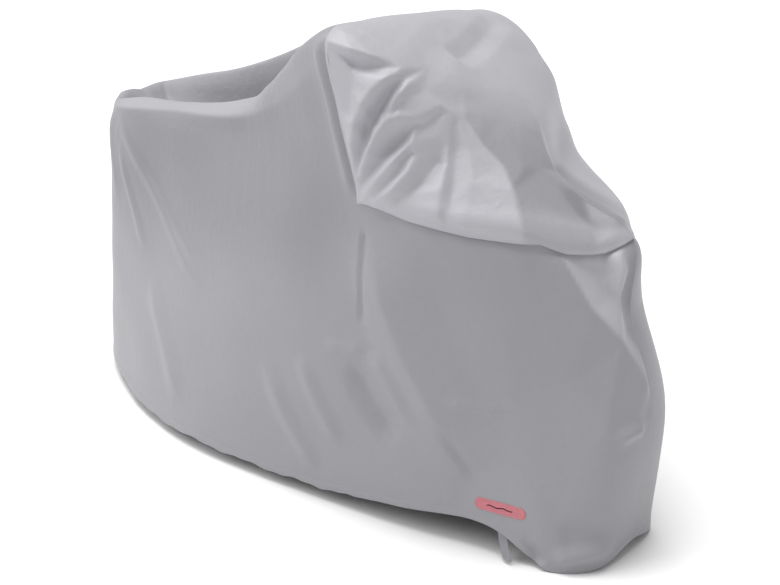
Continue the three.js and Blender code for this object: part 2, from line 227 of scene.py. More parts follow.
class BaseSurface:
    """The cover without its folds.

    Each rail is a closed curve through its sections, along the near side to the front and back
    along the far side. A point lies on the rib that crosses all rails at its station.
    """

    def __init__(self) -> None:
        """Lays out both halves of every rail, each with one section more at either end."""
        near = self._half(Side.NEAR)
        far = self._half(Side.FAR)
        self.near = np.concatenate([far[:, 1:2], near, far[:, -2:-1]], axis=1)
        self.far = np.concatenate([near[:, 1:2], far, near[:, -2:-1]], axis=1)

    @staticmethod
    def _half(side: Side) -> Array:
        """Points of one half, by rail and section, in metres in the frame's axes.

        Args:
            side: which half.

        Returns:
            An array of rails by sections by three.
        """
        table = np.array([[getattr(s, r.name) for s in SECTIONS] for r in RAILS], float)
        lift = np.array([r.lift for r in RAILS])[:, None] * np.array([s.lift for s in SECTIONS])
        sway = np.array([r.sway for r in RAILS])[:, None] * np.array([s.sway for s in SECTIONS])
        table[..., 1] = side.value * table[..., 1] + sway
        if side is Side.FAR:
            table[..., 2] += lift
        return (table - (BAR_X, 0.0, BAR_Z)) * MM

    def at(self, station: Array, rail: Array) -> Array:
        """Points at pairs of station and rail numbers.

        Args:
            station: station numbers.
            rail: rail numbers, as many.

        Returns:
            One point for each pair.
        """
        cell = np.clip(np.floor(station).astype(int), 0, LAST_STATION - 1)
        share = (station - cell)[None, :, None]
        near = catmull(*(self.near[:, cell + k] for k in range(4)), share)
        far = catmull(*(self.far[:, cell + k] for k in range(4)), share)
        rib = np.concatenate([near, far[-2::-1]])
        rib = np.concatenate([2 * rib[:1] - rib[1:2], rib, 2 * rib[-1:] - rib[-2:-1]])
        row = np.clip(np.floor(rail).astype(int), 0, LAST_RAIL - 1)
        pick = np.arange(len(row))
        return catmull(*(rib[row + k, pick] for k in range(4)), (rail - row)[:, None])


class Profile(Enum):
    """Cross-section of a fold: a soft swell, or a crease with flat flanks."""

    SOFT = "soft"
    CREASED = "creased"


@dataclass(frozen=True)
class Fold:
    """A ridge on the cloth, or a trough where its height is below zero.

    Its line is the bend through three places, and its sizes are in millimetres. With d the
    distance from the line, c the crest's radius and u = (sqrt(d^2 + c^2) - c) / width, the cloth
    rises by the height times exp(-u) where the fold is soft, and by the height times 1 - u, rounded
    off at its foot, where it is creased.
    A lean above zero widens the flank to the left of the line's run and narrows the other. Width
    and height shrink along the line to the share that narrow gives, and both ends fade out. A taut
    fold runs straight through space between its places instead of along the rails.
    """

    name: str
    profile: Profile
    start: Place
    via: Place
    end: Place
    width: float
    height: float
    crest: float = 14.0
    lean: float = 0.0
    narrow: float = 1.0
    fade: float = 0.3
    taut: bool = False

    STEPS = 20
    REACH = 6.0
    FOOT = 0.12

    def line(self, base: BaseSurface) -> Array:
        """Points along the fold's line on the base surface.

        Args:
            base: the cover without its folds.

        Returns:
            The line's points, from start to end.
        """
        share = np.linspace(0.0, 1.0, self.STEPS + 1)[:, None]
        start, via, end = (np.array(place) for place in (self.start, self.via, self.end))
        if self.taut:
            start, via, end = base.at(*np.stack([start, via, end]).T)
        pull = 2.0 * via - 0.5 * (start + end)
        places = (1 - share) ** 2 * start + 2 * share * (1 - share) * pull + share**2 * end
        return places if self.taut else base.at(places[:, 0], places[:, 1])

    def shape(self, reach: Array) -> Array:
        """Share of the fold's height at a distance given in widths.

        Args:
            reach: distances from the crest, in widths.

        Returns:
            Shares from 1 at the crest to 0.
        """
        if self.profile is Profile.SOFT:
            return np.exp(-reach)
        left = 1.0 - reach
        return 0.5 * (left + np.sqrt(left**2 + self.FOOT**2))

    def rise(self, points: Array, normals: Array, base: BaseSurface) -> Array:
        """Height that this fold adds at each point.

        Args:
            points: points of the base surface.
            normals: its outward directions there.
            base: the cover without its folds.

        Returns:
            Heights in metres.
        """
        line = self.line(base)
        crest = self.crest * MM
        room = self.REACH * self.width * MM
        inside = np.all((points > line.min(0) - room) & (points < line.max(0) + room), axis=1)
        added = np.zeros(len(points))
        if not inside.any():
            return added
        near = points[inside]
        runs = line[1:] - line[:-1]
        gaps = near[:, None] - line[None, :-1]
        along = np.clip(np.einsum("pks,ks->pk", gaps, runs) / np.sum(runs**2, axis=1), 0.0, 1.0)
        gaps -= along[..., None] * runs
        square = np.einsum("pks,pks->pk", gaps, gaps)
        best = square.argmin(axis=1)
        pick = np.arange(len(near))
        share = (best + along[pick, best]) / self.STEPS
        left = np.einsum("ps,ps->p", np.cross(normals[inside], runs[best]), gaps[pick, best])
        taper = 1.0 + (self.narrow - 1.0) * share
        width = self.width * MM * taper * (1.0 + self.lean * np.sign(left))
        rounded = np.sqrt(square[pick, best] + crest**2) - crest
        ends = smoothstep(np.minimum(share, 1.0 - share), 0.0, self.fade)
        added[inside] = self.height * MM * taper * ends * self.shape(rounded / width)
        return added


SOFT = Profile.SOFT
CREASED = Profile.CREASED
# Name and profile; start, via and end by station and rail; width, height, crest and lean.
HOOD_FOLDS = (
    Fold("crown_trough", CREASED, (6.4, 8.55), (9.3, 7.6), (8.4, 6.0), 44, -13, 5, fade=0.22, taut=True),
    Fold("crown_break", CREASED, (8.55, 6.2), (8.4, 5.6), (8.5, 5.0), 70, 8, 10),
    Fold("puff", SOFT, (6.25, 3.2), (8.5, 3.22), (10.95, 3.2), 22, 6, 12, fade=0.12),
    Fold("far_hood_trough", SOFT, (7.2, 9.0), (6.8, 9.8), (6.3, 10.6), 30, -12, 9),
    Fold("far_shoulder", SOFT, (7.3, 8.9), (7.75, 9.7), (7.5, 10.6), 60, 15, 30),
    Fold("far_cheek", SOFT, (7.2, 10.1), (8.8, 10.9), (10.6, 11.3), 70, -9, 30),
    Fold("far_puff", SOFT, (6.25, 10.8), (8.5, 10.78), (10.95, 10.8), 22, 6, 12, fade=0.12),
)
SIDE_FOLDS = (
    Fold("near_rim_edge", CREASED, (2.0, 4.5), (3.2, 4.5), (4.8, 4.75), 200, 42, 8, -0.6, fade=0.3),
    Fold("upper_wall", SOFT, (3.9, 4.2), (4.9, 4.2), (5.9, 4.2), 110, 14, 40),
    Fold("rear_rim", SOFT, (0.0, 5.2), (0.8, 5.2), (1.7, 5.1), 40, 7, 20),
    Fold("tail_pull", CREASED, (2.3, 4.25), (3.0, 2.63), (3.93, 1.42), 28, 10, 6, -0.2),
    Fold("tail_second_pull", CREASED, (2.36, 3.6), (2.57, 2.5), (2.85, 1.6), 24, 7, 6),
    Fold("rear_pull", SOFT, (2.05, 4.5), (2.2, 3.3), (2.3, 2.2), 26, 8, 10),
    Fold("left_low", CREASED, (2.9, 1.25), (3.39, 0.68), (3.8, 0.15), 50, 12, 8),
    Fold("rim_to_bar", SOFT, (4.1, 5.0), (5.0, 5.0), (5.85, 4.95), 30, 16, 10),
    Fold("long_pull", CREASED, (6.2, 2.85), (6.98, 1.42), (7.83, 0.32), 110, 28, 6, 0.2),
    Fold("upright_crease", CREASED, (6.1, 2.75), (6.2, 2.2), (6.24, 1.55), 14, -8, 2, 0.4, fade=0.15),
    Fold("level_crease", CREASED, (5.68, 1.29), (6.0, 1.26), (6.38, 1.29), 18, 7, 3),
    Fold("low_ridge", CREASED, (4.75, 1.0), (5.3, 0.42), (5.73, 0.12), 36, 11, 6),
    Fold("low_middle_ridge", CREASED, (5.34, 1.12), (5.65, 0.69), (6.1, 0.33), 32, 10, 6),
    Fold("low_valley", CREASED, (6.0, 1.14), (6.5, 0.79), (7.0, 0.5), 50, -18, 6),
    Fold("low_second_ridge", CREASED, (6.45, 1.36), (6.76, 0.99), (7.25, 0.6), 30, 11, 5),
    Fold("small_crease", CREASED, (7.46, 0.97), (7.83, 0.97), (8.2, 0.95), 18, 6, 3),
    Fold("eyelet_crease", CREASED, (7.4, 0.8), (7.75, 0.42), (8.02, 0.24), 20, -9, 3, 0.3),
    Fold("hem_crease", CREASED, (8.3, 0.16), (8.5, 0.11), (8.88, 0.0), 24, -15, 3, fade=0.15),
    Fold("front_dash", CREASED, (10.8, 0.86), (10.42, 0.9), (10.04, 0.84), 26, 15, 3),
    Fold("front_low", CREASED, (9.05, 0.22), (9.55, 0.27), (10.4, 0.25), 44, -10, 5),
    Fold("front_hem_ridge", CREASED, (8.98, 0.05), (9.6, 0.13), (10.5, 0.09), 30, 16, 4),
    Fold("under_seam", SOFT, (6.1, 2.94), (8.5, 2.94), (10.9, 2.94), 13, -9, 4, fade=0.12),
    Fold("far_bar_pull", SOFT, (6.1, 10.9), (6.6, 12.2), (7.2, 13.2), 55, 15),
    Fold("far_tail_pull", SOFT, (2.4, 9.8), (2.9, 11.3), (3.8, 12.7), 50, 13),
    Fold("far_low_ridge", SOFT, (4.6, 12.6), (4.8, 13.2), (5.0, 13.8), 50, 12),
    Fold("far_under_seam", SOFT, (6.1, 11.1), (8.5, 11.1), (10.9, 11.1), 20, -7, 8, fade=0.12),
)
SEAM_FOLDS = (
    Fold("bar_seam_roll", SOFT, (5.9, 5.1), (5.91, 4.0), (5.94, 3.05), 12, 9, 6, fade=0.15),
    Fold("bar_seam_line", SOFT, (6.0, 5.4), (6.0, 4.2), (6.0, 3.0), 7, -6, 2, fade=0.1),
    Fold("low_seam_line", SOFT, (6.0, 3.0), (8.5, 3.0), (11.0, 3.0), 8, -5, 3, fade=0.03),
    Fold("far_bar_seam_line", SOFT, (6.0, 8.6), (6.0, 9.8), (6.0, 11.0), 7, -5, 3, fade=0.1),
    Fold("far_low_seam_line", SOFT, (6.0, 11.0), (8.5, 11.0), (11.0, 11.0), 8, -5, 3, fade=0.03),
)


@dataclass(frozen=True)
class Crease:
    """One crease of the cloth: station, rail and rise in millimetres at each of its corners."""

    name: str
    corners: tuple[Triple, ...]


HOOD_CREASES = (
    Crease("bar_edge", ((6.08, 4.9, 6), (6.47, 4.92, 12), (6.78, 5.05, 11), (7.12, 5.2, 4))),
    Crease("bar_hollow", ((6.2, 4.8, -8), (6.46, 4.76, -26), (6.76, 4.92, -22), (7.08, 5.12, -5))),
    Crease("first_side", ((6.52, 4.66, -8), (6.44, 4.4, -4), (6.27, 4.05, 0))),
    Crease("second_edge", ((7.3, 5.16, 4), (7.04, 4.84, 14), (6.85, 4.58, 20), (6.63, 4.3, 20),
                           (6.4, 4.02, 16), (6.19, 3.68, 10), (6.06, 3.4, 3))),
    Crease("second_hollow", ((7.4, 5.1, -6), (7.17, 4.78, -19), (6.92, 4.43, -23), (6.66, 4.09, -22),
                             (6.39, 3.71, -16), (6.14, 3.38, -6))),
    Crease("short_edge", ((7.5, 5.06, 3), (7.31, 4.78, 7), (7.17, 4.57, 8), (7.06, 4.39, 3))),
    Crease("short_hollow", ((7.71, 5.03, -4), (7.45, 4.77, -7), (7.26, 4.56, -6), (7.16, 4.42, -2))),
    Crease("third_edge", ((7.62, 4.53, 6), (7.24, 4.42, 14), (6.98, 4.26, 18), (6.78, 4.03, 17),
                          (6.5, 3.7, 13), (6.22, 3.42, 8), (6.08, 3.26, 3))),
    Crease("third_hollow", ((7.57, 4.43, -7), (7.37, 4.2, -20), (7.05, 3.94, -25), (6.67, 3.65, -21),
                            (6.28, 3.34, -12), (6.1, 3.17, -4))),
    Crease("fourth_edge", ((7.54, 4.33, 3), (7.38, 4.09, 11), (7.0, 3.76, 13), (6.51, 3.37, 10),
                           (6.14, 3.07, 2))),
    Crease("fourth_hollow", ((7.42, 4.0, -6), (7.12, 3.7, -11), (6.7, 3.36, -11), (6.28, 3.1, -3))),
    Crease("fifth_edge", ((7.5, 3.98, 3), (7.22, 3.69, 9), (6.76, 3.33, 10), (6.36, 3.09, 3))),
    Crease("fifth_hollow", ((7.92, 3.98, -7), (7.5, 3.65, -15), (7.02, 3.33, -14), (6.58, 3.12, -4))),
    Crease("nick_edge", ((8.0, 4.83, 8), (7.77, 4.64, 7))),
    Crease("nick_hollow", ((8.05, 4.77, -3), (7.78, 4.51, -6), (7.58, 4.3, -2))),
    Crease("nick_ledge", ((8.1, 4.68, 5), (7.9, 4.4, 7), (7.64, 4.25, 3))),
    Crease("upright_edge", ((8.27, 4.78, 4), (8.13, 4.38, 12), (7.98, 3.97, 16), (7.66, 3.54, 14),
                            (7.44, 3.16, 6))),
    Crease("upright_hollow", ((8.36, 4.66, 2), (8.33, 4.29, 10), (8.06, 3.78, 10), (7.7, 3.35, 0),
                              (7.54, 3.16, -2))),
    Crease("stripe", ((8.44, 4.84, 0), (8.5, 4.34, 29), (8.26, 3.69, 33), (7.76, 3.1, 8))),
    Crease("facet_edge", ((8.54, 4.8, 0), (8.84, 4.47, 32), (9.15, 4.07, 62), (8.92, 3.56, 46),
                          (8.68, 3.12, 12))),
    Crease("slope_fill", ((9.7, 4.05, 66), (10.3, 4.02, 54))),
    Crease("brow", ((8.95, 4.95, 2), (9.5, 4.9, 5), (10.2, 4.85, 8), (11.0, 4.8, 8), (11.5, 4.8, 4))),
    Crease("nose_line", ((11.0, 4.5, 24), (11.0, 4.0, 32), (11.0, 3.6, 14), (11.0, 3.25, 8))),
    Crease("bar_round", ((6.2, 5.22, 0), (6.45, 5.25, 0), (6.75, 5.32, 0))),
)
FRONT_CREASES = (
    Crease("front_edge", ((9.27, 2.9, -2), (9.73, 2.23, 26), (10.3, 1.76, 36), (10.82, 1.26, 14))),
    Crease("front_nick", ((10.0, 2.93, -4), (10.12, 2.64, -20), (10.28, 2.36, -6))),
    Crease("front_ridge", ((10.6, 2.93, 4), (10.45, 2.66, 22), (10.38, 2.4, 26), (10.42, 2.05, 26))),
    Crease("front_dent", ((10.84, 2.62, -12), (10.66, 2.3, -16), (10.68, 1.9, 0))),
    Crease("front_left", ((8.53, 2.67, 0), (8.75, 2.0, 0), (9.2, 1.45, 0), (9.9, 1.0, 0))),
)


@dataclass(frozen=True)
class CreaseNet:
    """Cloth pulled straight between creases, over a span of stations and rails.

    Each crease's corner stands off the base surface by its rise. A Delaunay net that keeps every
    crease as an edge joins the corners and plain anchors along the span's border, and the cloth
    is flat within each triangle of the net. Stations are counted on past the nose.
    """

    creases: tuple[Crease, ...]
    stations: Span
    rails: Span
    blur: int = 2

    # Metres to a station and to a rail on the flat, roughly, and what counts as nothing there.
    SPREAD = (0.1, 0.19)
    MATCH = 1e-5
    SLACK = 1e-6
    ANCHOR_STEP = 0.25

    def anchors(self) -> list[Triple]:
        """Places along the border of the net's span, with no rise."""
        along = np.append(np.arange(*self.stations, self.ANCHOR_STEP), self.stations[1])
        up = np.arange(*self.rails, self.ANCHOR_STEP)[1:]
        sides = [(s, t, 0.0) for s in along for t in self.rails]
        return sides + [(s, t, 0.0) for s in self.stations for t in up]

    def edges(self) -> list[tuple[int, int]]:
        """Neighbouring corners within each crease, numbered through all creases."""
        starts = np.cumsum([len(crease.corners) for crease in self.creases])
        return [(k - 1, k) for k in range(1, starts[-1]) if k not in starts]

    def pull(self, cloth: "Cloth", station: Array, rail: Array) -> Array:
        """Offsets that draw a grid of the cloth onto the net.

        Args:
            cloth: the folded cloth.
            station: station numbers on a grid.
            rail: rail numbers on the same grid.

        Returns:
            One offset for each point of the grid.
        """
        places = np.array([corner for crease in self.creases for corner in crease.corners] + self.anchors())
        home = other_half(places[:, 0], places[:, 1], places[:, 0] > LAST_STATION)
        corners = cloth.base.at(*home) + places[:, 2:] * MM * cloth.normals(*home)
        counted = np.stack(other_half(station.ravel(), rail.ravel(), rail.ravel() > SPINE_RAIL))
        start = cloth.base.at(*other_half(*counted, counted[0] > LAST_STATION))
        pulled = self.stretch(places[:, :2] * self.SPREAD, corners, counted.T * self.SPREAD, start)
        return self.soften((pulled - start).reshape(*station.shape, 3))

    def stretch(self, plan: Array, corners: Array, wanted: Array, start: Array) -> Array:
        """Points of the flat triangles between the creases.

        Args:
            plan: the net's corners on the flat.
            corners: the same corners in space.
            wanted: places on the flat.
            start: a point for each place, kept where it lies outside the net.

        Returns:
            One point for each place.
        """
        found, _, faces, sources, _, _ = delaunay_2d_cdt(
            [Vector(place) for place in plan], self.edges(), [], 0, self.MATCH
        )
        if any(len(source) == 0 for source in sources):
            raise ValueError("two creases cross")
        source = np.array([given[0] for given in sources])
        flat = np.array([tuple(place) for place in found])
        pulled = start.copy()
        for face in faces:
            a, b, c = flat[list(face)]
            matrix = np.stack([b - a, c - a], axis=1)
            if abs(np.linalg.det(matrix)) < self.MATCH**2:
                continue
            share = (wanted - a) @ np.linalg.inv(matrix).T
            share = np.column_stack([1.0 - share.sum(axis=1), share])
            inside = share.min(axis=1) > -self.SLACK
            pulled[inside] = share[inside] @ corners[source[list(face)]]
        return pulled

    def soften(self, shift: Array) -> Array:
        """Rounds the creases: each pass mixes a grid point with its neighbours, one to two to one.

        Args:
            shift: offsets on a grid.

        Returns:
            The softened offsets.
        """
        for _ in range(self.blur):
            for axis in (0, 1):
                padded = np.concatenate([shift.take([0], axis), shift, shift.take([-1], axis)], axis=axis)
                count = shift.shape[axis]
                parts = [padded.take(range(k, k + count), axis) for k in range(3)]
                shift = 0.25 * parts[0] + 0.5 * parts[1] + 0.25 * parts[2]
        return shift


@dataclass(frozen=True)
class Seat:
    """A flat seat on the cloth: its centre and its long, across and outward directions."""

    centre: Array
    long: Array
    across: Array
    out: Array

    def place(self, local: Array) -> Array:
        """Points given along the seat's three directions, as points of the frame."""
        return self.centre + local @ np.stack([self.long, self.across, self.out])


@dataclass(frozen=True)
class Cloth:
    """The folded cloth: the base surface, its folds and the flat place that the eyelet keeps.

    The flat place and its ease are radii in millimetres, and the tilt is in degrees.
    """

    base: BaseSurface
    folds: tuple[Fold, ...]
    eyelet_place: Place = (8.17, 0.195)
    eyelet_tilt: float = 20.0
    eyelet_flat: float = 76.0
    eyelet_ease: float = 140.0

    STEP = 0.02
    SEAT_STEP = 0.05
    # Turns along x, y and z in radians to the metre, and phase, of three sines; then their height.
    WAVES = ((21.0, 0.0, 6.0, 0.7), (9.0, 11.0, -24.0, 2.1), (14.0, -8.0, 31.0, 0.0))
    WAVE_HEIGHT = 0.8

    def seat(self, place: Place, tilt: float, folded: bool) -> Seat:
        """A seat whose long side runs forward along the rail, turned about its outward direction.

        Args:
            place: station and rail of the centre.
            tilt: turn in degrees, front end up.
            folded: whether the seat lies on the folded cloth.

        Returns:
            The seat.
        """
        surface = self.at if folded else self.base.at
        station = np.array([0.0, self.SEAT_STEP, 0.0]) + place[0]
        rail = np.array([0.0, 0.0, self.SEAT_STEP]) + place[1]
        centre, front, above = surface(station, rail)
        out = unit(np.cross(front - centre, above - centre))
        ahead = unit(front - centre)
        turn = math.radians(tilt)
        long = ahead * math.cos(turn) + np.cross(out, ahead) * math.sin(turn)
        return Seat(centre, long, np.cross(out, long), out)

    def normals(self, station: Array, rail: Array) -> Array:
        """Outward directions of the base surface, from steps along the rail and along the rib."""
        ahead = self.base.at(station + self.STEP, rail) - self.base.at(station - self.STEP, rail)
        up = self.base.at(station, rail + self.STEP) - self.base.at(station, rail - self.STEP)
        return unit(np.cross(ahead, up))

    def at(self, station: Array, rail: Array, proud: Array | float = 0.0) -> Array:
        """Points of the folded cloth.

        Args:
            station: station numbers.
            rail: rail numbers, as many.
            proud: further rise off the cloth in metres.

        Returns:
            One point for each pair.
        """
        points = self.base.at(station, rail)
        normals = self.normals(station, rail)
        rise = sum(fold.rise(points, normals, self.base) for fold in self.folds)
        moved = points + (rise + self.waves(points))[:, None] * normals
        eyelet = self.seat(self.eyelet_place, self.eyelet_tilt, folded=False)
        offset = moved - eyelet.centre
        distance = np.linalg.norm(offset, axis=1)
        hold = 1.0 - smoothstep(distance, self.eyelet_flat * MM, self.eyelet_ease * MM)
        moved = moved - (hold * (offset @ eyelet.out))[:, None] * eyelet.out
        return moved + np.reshape(proud, (-1, 1)) * normals

    @classmethod
    def waves(cls, points: Array) -> Array:
        """Slight slackness all over: crossed sines of 2 to 3 decimetres, about 1 mm high."""
        waves = np.array(cls.WAVES)
        return cls.WAVE_HEIGHT * MM * np.sin(points @ waves[:, :3].T + waves[:, 3]).sum(axis=1)


def mesh_object(
    name: str, points: Array, faces: Array, uv: Array | None = None, painted_shade: Array | None = None,
) -> Piece:
    """A smooth mesh from arrays, with only the points that its faces use.

    Args:
        name: the piece's name.
        points: corner points in metres.
        faces: four corner numbers for each face.
        uv: flat coordinates of each point in metres, where a pattern follows the surface.
        painted_shade: how far each point's colour is darkened as painted shade, from 0 to 1.

    Returns:
        The object, linked to the scene.
    """
    used, index = np.unique(faces, return_inverse=True)
    corners = index.reshape(-1).astype(np.int32)
    mesh = bpy.data.meshes.new(name)
    mesh.vertices.add(len(used))
    mesh.vertices.foreach_set("co", points[used].astype(np.float32).ravel())
    mesh.loops.add(len(corners))
    mesh.loops.foreach_set("vertex_index", corners)
    mesh.polygons.add(len(faces))
    mesh.polygons.foreach_set("loop_start", np.arange(0, len(corners), 4, dtype=np.int32))
    mesh.update(calc_edges=True)
    mesh.polygons.foreach_set("use_smooth", np.ones(len(faces), bool))
    if uv is not None:
        layer = mesh.uv_layers.new(name="cloth")
        layer.data.foreach_set("uv", uv[used][corners].astype(np.float32).ravel())
    # The painted shade is kept as a per-point attribute, for the finish to read.
    if painted_shade is not None:
        tone = mesh.attributes.new("painted_shade", "FLOAT", "POINT")
        tone.data.foreach_set("value", painted_shade[used].astype(np.float32))
    mesh.validate()
    piece = bpy.data.objects.new(name, mesh)
    bpy.context.scene.collection.objects.link(piece)
    return piece


def ring_faces(rows: int, columns: int, closed_rows: bool, closed_columns: bool) -> Array:
    """Faces of a grid of points numbered row by row, closed on itself where asked.

    Args:
        rows: points along the first direction.
        columns: points along the second one.
        closed_rows: whether the last row joins the first.
        closed_columns: whether the last column joins the first.

    Returns:
        Four corner numbers for each face.
    """
    i, j = np.meshgrid(
        np.arange(rows if closed_rows else rows - 1),
        np.arange(columns if closed_columns else columns - 1), indexing="ij",
    )
    i, j = i.ravel(), j.ravel()
    i_next, j_next = (i + 1) % rows, (j + 1) % columns
    number = np.arange(rows * columns).reshape(rows, columns)
    return np.stack([number[i, j], number[i_next, j], number[i_next, j_next], number[i, j_next]], axis=1)


def dress(piece: Piece, node: str, material: Material) -> None:
    """Gives a piece its finish and its place on the frame, and logs it.

    Args:
        piece: the finished mesh.
        node: the solid that it stands for.
        material: its finish.
    """
    piece.data.materials.append(material)
    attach(piece, BODY)
    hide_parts(node)
    LOG.info("%s: %d faces", piece.name, len(piece.data.polygons))


class Nodes:
    """Short ways to add nodes to one tree and to link them."""

    def __init__(self, tree: Tree) -> None:
        """Keeps the tree that the nodes go into."""
        self.tree = tree

    def give(self, socket: Socket, value: object) -> None:
        """Links an input to another socket, or sets it to a number or a colour."""
        if isinstance(value, Socket):
            self.tree.links.new(value, socket)
        else:
            socket.default_value = value

    def add(self, kind: str, **values: object) -> Node:
        """A node of that kind, with its properties and, by socket name, its inputs.

        Args:
            kind: Blender's name of the node.
            values: properties, or values and sockets for the inputs with spaces as underscores.

        Returns:
            The node.
        """
        node = self.tree.nodes.new(kind)
        for key, value in values.items():
            if hasattr(node, key):
                setattr(node, key, value)
            else:
                self.give(node.inputs[key.replace("_", " ")], value)
        return node

    def math(self, operation: str, *values: object) -> Socket:
        """Result of a Math node whose inputs are sockets or numbers."""
        node = self.add("ShaderNodeMath", operation=operation)
        for socket, value in zip(node.inputs, values):
            self.give(socket, value)
        return node.outputs[0]

    def vary(self, factor: Socket, middle: float, spread: float) -> Socket:
        """Number that a factor from 0 to 1 moves across a spread about its middle."""
        return self.math("MULTIPLY_ADD", factor, spread, middle - spread / 2.0)

    def mix(self, factor: Socket, first: object, second: Triple) -> Socket:
        """Colour mixed by a factor from a first one, which may be a socket, to a second one."""
        node = self.add("ShaderNodeMix", data_type="RGBA", Factor=factor)
        for socket, value in zip(node.inputs[6:8], (first, second)):
            self.give(socket, (*value, 1.0) if isinstance(value, tuple) else value)
        return node.outputs[2]

    def surface(self, **inputs: object) -> None:
        """A principled shader with those inputs, as the material's surface."""
        shader = self.add("ShaderNodeBsdfPrincipled", **inputs)
        self.add("ShaderNodeOutputMaterial", Surface=shader.outputs["BSDF"])


def bare_material(name: str) -> tuple[Material, Nodes]:
    """A new material without nodes, and its tree to add them to."""
    made = bpy.data.materials.new(name)
    made.use_nodes = True
    made.node_tree.nodes.clear()
    return made, Nodes(made.node_tree)


def weave_group() -> Tree:
    """Plain weave for every cloth: crossed threads, slubs and handling creases.

    The height is the product of two sines along the cloth's own coordinates, one period to a
    thread pair. Shade is a slow noise that darkens and lightens the cloth a little, and Crinkle a
    finer one for soft creases.

    Returns:
        The node group.
    """
    tree = bpy.data.node_groups.new("woven_cloth", "ShaderNodeTree")
    for name, kind in (("Cloth", "NodeSocketVector"), ("Place", "NodeSocketVector"),
                       ("Pitch", "NodeSocketFloat"), ("Crinkle Scale", "NodeSocketFloat")):
        tree.interface.new_socket(name, in_out="INPUT", socket_type=kind)
    for name in ("Thread", "Shade", "Crinkle"):
        tree.interface.new_socket(name, in_out="OUTPUT", socket_type="NodeSocketFloat")
    nodes = Nodes(tree)
    given = nodes.add("NodeGroupInput").outputs
    parts = nodes.add("ShaderNodeSeparateXYZ", Vector=given["Cloth"])
    turn = nodes.math("DIVIDE", 2.0 * math.pi, given["Pitch"])
    warp, weft = (nodes.math("SINE", nodes.math("MULTIPLY", parts.outputs[axis], turn)) for axis in "XY")
    shade = nodes.add("ShaderNodeTexNoise", Vector=given["Place"], Scale=5.0, Detail=4.0, Roughness=0.6)
    crinkle = nodes.add(
        "ShaderNodeTexNoise", Vector=given["Place"], Scale=given["Crinkle Scale"],
        Detail=3.0, Roughness=0.5, Distortion=0.6,
    )
    nodes.add(
        "NodeGroupOutput", Thread=nodes.math("MULTIPLY_ADD", nodes.math("MULTIPLY", warp, weft), 0.5, 0.5),
        Shade=shade.outputs["Fac"], Crinkle=crinkle.outputs["Fac"],
    )
    return tree


@dataclass(frozen=True)
class WovenFinish:
    """Finish of a woven piece: thread pitch and depths of thread and crinkle in millimetres.

    shade is how far the colour varies in slow noise, and dulled the share of the colour kept under full
    painted shade.
    """

    name: str
    colour: Triple
    pitch: float
    roughness: float
    sheen: float
    crinkle_scale: float
    crinkle_depth: float
    thread_depth: float
    shade: float = 0.06
    shaded_colour_share: float = 0.66

    ROUGHNESS_SPREAD = 0.12
    SHEEN_ROUGHNESS = 0.45
    CRINKLE_STRENGTH = 0.5
    THREAD_STRENGTH = 0.35

    def tone(self, share: float) -> Triple:
        """The colour, darkened or lightened."""
        return tuple(min(channel * share, 1.0) for channel in self.colour)

    def material(self, weave: Tree) -> Material:
        """The finish as a material: weave and crinkles as bump, slow noise shade in the colour, and painted
        light and shade mixed in from the mesh's attribute.

        Args:
            weave: the shared weave group.

        Returns:
            The material.
        """
        made, nodes = bare_material(self.name)
        woven = nodes.add(
            "ShaderNodeGroup", node_tree=weave, Pitch=self.pitch * MM, Crinkle_Scale=self.crinkle_scale,
            Cloth=nodes.add("ShaderNodeUVMap", uv_map="cloth").outputs["UV"],
            Place=nodes.add("ShaderNodeTexCoord").outputs["Object"],
        ).outputs
        tint = nodes.mix(woven["Shade"], self.tone(1.0 - self.shade), self.tone(1.0 + self.shade))
        # Painted shade: a per-point attribute mixes the colour towards a darker copy of it, where the cloth
        # should lie in shade.
        painted_shade = nodes.add("ShaderNodeAttribute", attribute_name="painted_shade")
        crinkle = nodes.add(
            "ShaderNodeBump", Strength=self.CRINKLE_STRENGTH, Distance=self.crinkle_depth * MM,
            Height=woven["Crinkle"],
        )
        thread = nodes.add(
            "ShaderNodeBump", Strength=self.THREAD_STRENGTH, Distance=self.thread_depth * MM,
            Height=woven["Thread"], Normal=crinkle.outputs["Normal"],
        )
        nodes.surface(
            Base_Color=nodes.mix(painted_shade.outputs["Fac"], tint, self.tone(self.shaded_colour_share)),
            Roughness=nodes.vary(woven["Shade"], self.roughness, self.ROUGHNESS_SPREAD),
            Sheen_Weight=self.sheen, Sheen_Roughness=self.SHEEN_ROUGHNESS, Normal=thread.outputs["Normal"],
        )
        return made


@dataclass(frozen=True)
class MouldedFinish:
    """Finish of soft moulded plastic: fine grain, in millimetres, and a slightly faded colour."""

    name: str
    colour: Triple
    faded: Triple
    roughness: float
    grain_depth: float = 0.2

    ROUGHNESS_SPREAD = 0.2
    PATCH_SCALE = 55.0
    GRAIN_SCALE = 900.0
    GRAIN_STRENGTH = 0.3

    def material(self) -> Material:
        """The finish as a material, faded in slow patches, with a pebbled grain as bump."""
        made, nodes = bare_material(self.name)
        place = nodes.add("ShaderNodeTexCoord").outputs["Object"]
        noise = nodes.add("ShaderNodeTexNoise", Vector=place, Scale=self.PATCH_SCALE, Detail=4.0)
        patches = noise.outputs["Fac"]
        grain = nodes.add("ShaderNodeTexVoronoi", Vector=place, Scale=self.GRAIN_SCALE)
        bump = nodes.add(
            "ShaderNodeBump", Strength=self.GRAIN_STRENGTH, Distance=self.grain_depth * MM,
            Height=grain.outputs["Distance"],
        )
        nodes.surface(
            Base_Color=nodes.mix(patches, self.colour, self.faded),
            Roughness=nodes.vary(patches, self.roughness, self.ROUGHNESS_SPREAD),
            Normal=bump.outputs["Normal"],
        )
        return made


